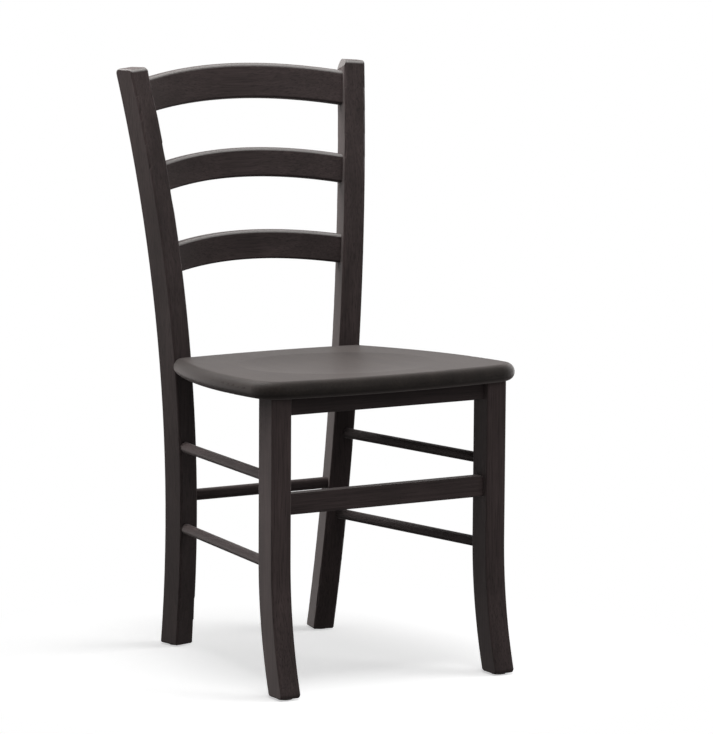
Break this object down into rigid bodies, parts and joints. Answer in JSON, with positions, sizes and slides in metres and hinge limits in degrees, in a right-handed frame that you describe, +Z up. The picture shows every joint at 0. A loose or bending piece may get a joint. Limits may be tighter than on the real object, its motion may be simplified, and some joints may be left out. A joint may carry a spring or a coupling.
{
  "type": "dining chair",
  "caption": "Armless ladder-back dining chair in dark stained wood, with a solid shaped seat, arched bowed slats, curved legs and round side rods.",
  "frame": {"origin": "on the floor, under the middle of the chair's bounding box", "axes": "+Z up, +Y towards the back of the chair so that it faces -Y, +X to the right when the chair is seen from the front"},
  "size_m": [0.4384, 0.5223, 0.8812],
  "materials": {
    "stained_wood": "dark brown stain under satin lacquer",
    "seat_wood": "dark brown stain under satin lacquer",
    "raw_wood": "bare beech",
    "screw_steel": "zinc plated",
    "glide_plastic": "hard matt plastic"
  },
  "bodies": {
    "root": {"rear_post_left": "stained_wood", "rear_post_right": "stained_wood", "front_leg_left": "stained_wood", "front_leg_right": "stained_wood", "back_slat_lower": "stained_wood", "back_slat_middle": "stained_wood", "back_slat_top": "stained_wood", "front_apron": "stained_wood", "front_stretcher": "stained_wood", "rear_seat_rail": "stained_wood", "side_rod_upper_left": "stained_wood", "side_rod_upper_right": "stained_wood", "side_rod_lower_left": "stained_wood", "side_rod_lower_right": "stained_wood", "rear_rod": "stained_wood", "seat_board_1": "seat_wood", "seat_board_2": "seat_wood", "seat_board_3": "seat_wood", "seat_board_4": "seat_wood", "seat_board_5": "seat_wood", "corner_block_left": "raw_wood", "corner_block_right": "raw_wood", "apron_dowels": "raw_wood", "stretcher_dowels": "raw_wood", "rear_rail_dowels": "raw_wood", "seat_screws": "screw_steel", "rear_rail_screws": "screw_steel", "corner_block_screws": "screw_steel", "foot_glide_rear_left": "glide_plastic", "foot_glide_rear_right": "glide_plastic", "foot_glide_front_left": "glide_plastic", "foot_glide_front_right": "glide_plastic"}
  },
  "joints": []
}
